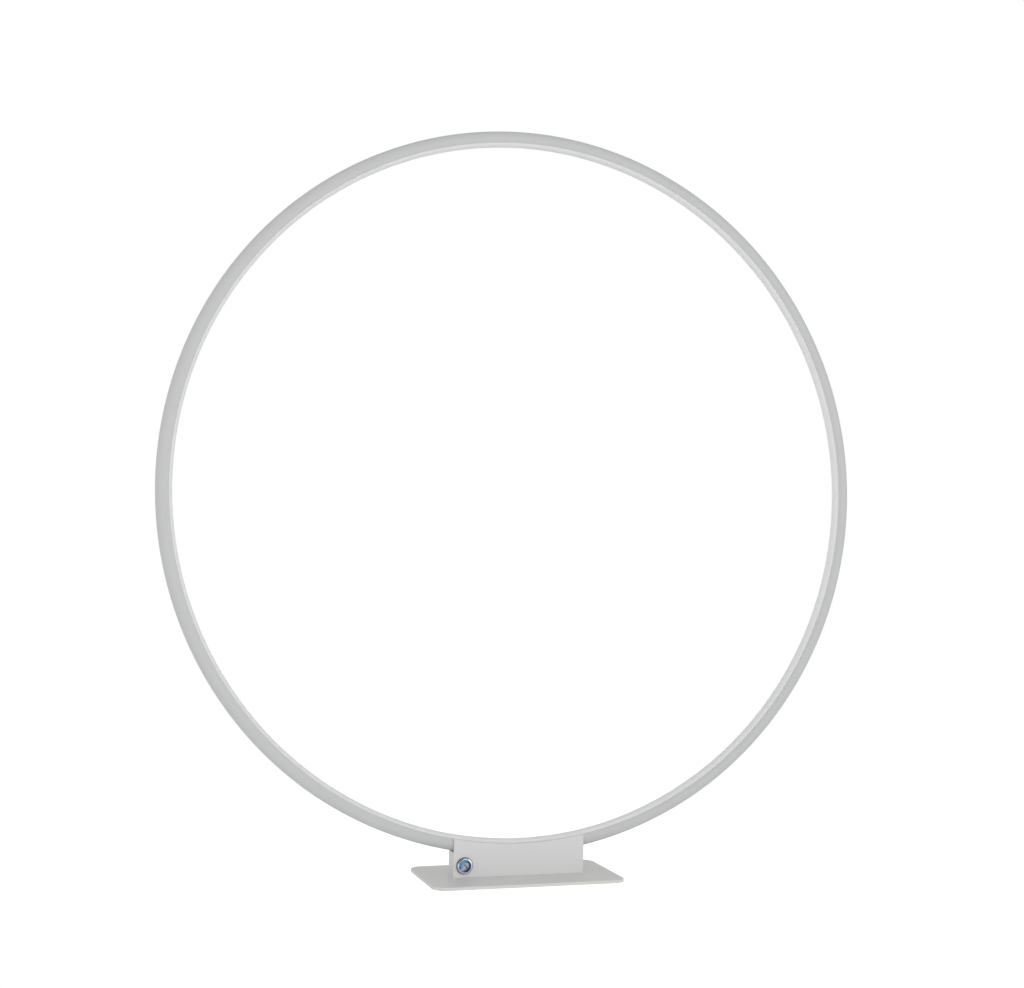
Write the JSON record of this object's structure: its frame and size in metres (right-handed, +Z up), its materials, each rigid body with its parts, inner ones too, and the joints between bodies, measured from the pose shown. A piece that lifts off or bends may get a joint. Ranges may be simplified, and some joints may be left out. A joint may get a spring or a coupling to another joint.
{
  "type": "retail security gate",
  "caption": "Hoop-shaped retail security gate: round tube ring with a pale inner strip on a flat base plate, with a slim foot housing and a lit push button.",
  "frame": {"origin": "middle of the base plate's underside, on the floor", "axes": "+X along the hoop's plane to the right seen from the front, -Y is the front with the button, +Z up"},
  "size_m": [1.4498, 0.22, 1.4935],
  "materials": {
    "plate_paint": "satin powder coat on steel",
    "hoop_paint": "satin pale grey coat on the bent tube",
    "strip_opal": "opal plastic, satin",
    "copper_wire": "lacquered copper wire, bundled",
    "black_plastic": "glass filled nylon, matt",
    "carrier_aluminium": "mill finish",
    "tape_film": "white flexible circuit",
    "lamp_phosphor": "lamp package",
    "cream_plastic": "natural nylon",
    "zinc_steel": "bright zinc",
    "housing_paint": "satin pale grey powder coat on sheet",
    "brass_plated": "plated brass",
    "black_rubber": "soft rubber",
    "circuit_board": "solder resist on glass epoxy",
    "green_plastic": "moulded terminal block",
    "red_insulation": "wire insulation",
    "black_insulation": "sleeved wires",
    "capacitor_yellow": "film capacitor",
    "blue_plastic": "trimmer case",
    "bezel_chrome": "polished chrome",
    "blue_light_ring": "lit blue light guide",
    "lamp_board_white": "white ring board",
    "cap_pearl": "pale translucent cap"
  },
  "bodies": {
    "gate_frame": {"base_plate": "plate_paint", "ring_tube": "hoop_paint", "cover_strip": "strip_opal", "antenna_winding": "copper_wire", "winding_clips": "black_plastic", "saddle_left": "black_plastic", "saddle_right": "black_plastic", "button_housing": "black_plastic", "alarm_buzzer": "black_plastic", "board_chips": "black_plastic", "light_carrier": "carrier_aluminium", "light_tape": "tape_film", "tape_lamps": "lamp_phosphor", "joint_spigot": "cream_plastic", "button_base": "cream_plastic", "board_connectors": "cream_plastic", "spigot_screws": "zinc_steel", "ring_screws": "zinc_steel", "ring_nut_blocks": "zinc_steel", "shell_screws": "zinc_steel", "shell_nuts": "zinc_steel", "cover_screws": "zinc_steel", "board_screws": "zinc_steel", "button_nut": "zinc_steel", "button_spring": "zinc_steel", "terminal_screws": "zinc_steel", "shield_can": "zinc_steel", "housing_shell": "housing_paint", "rear_cover": "housing_paint", "cover_posts": "brass_plated", "board_standoffs": "brass_plated", "button_terminals": "brass_plated", "cable_grommet": "black_rubber", "button_gasket": "black_rubber", "main_board": "circuit_board", "tuning_board": "circuit_board", "terminal_blocks": "green_plastic", "winding_leads": "red_insulation", "wiring_loom_left": "black_insulation", "wiring_loom_right": "black_insulation", "tuning_capacitors": "capacitor_yellow", "trimmer_body": "blue_plastic", "button_bezel": "bezel_chrome", "button_light_ring": "blue_light_ring", "button_lamp_board": "lamp_board_white"},
    "push_button": {"button_cap": "cap_pearl", "button_plunger": "black_plastic", "contact_bridge": "brass_plated"},
    "trimmer": {"trimmer_rotor": "brass_plated"}
  },
  "joints": [
    {"name": "button_press", "type": "slide", "parent": "gate_frame", "child": "push_button", "axis": [0, 1, 0], "range_m": [0, 0.0025], "stiffness_N_per_m": 400, "springref_m": -0.004, "deforming": ["button_spring"]},
    {"name": "trimmer_turn", "type": "hinge", "parent": "gate_frame", "child": "trimmer", "pos_m": [0.112, -0.013, 0.0345], "axis": [0, 1, 0], "range_deg": [-105, 105]}
  ]
}
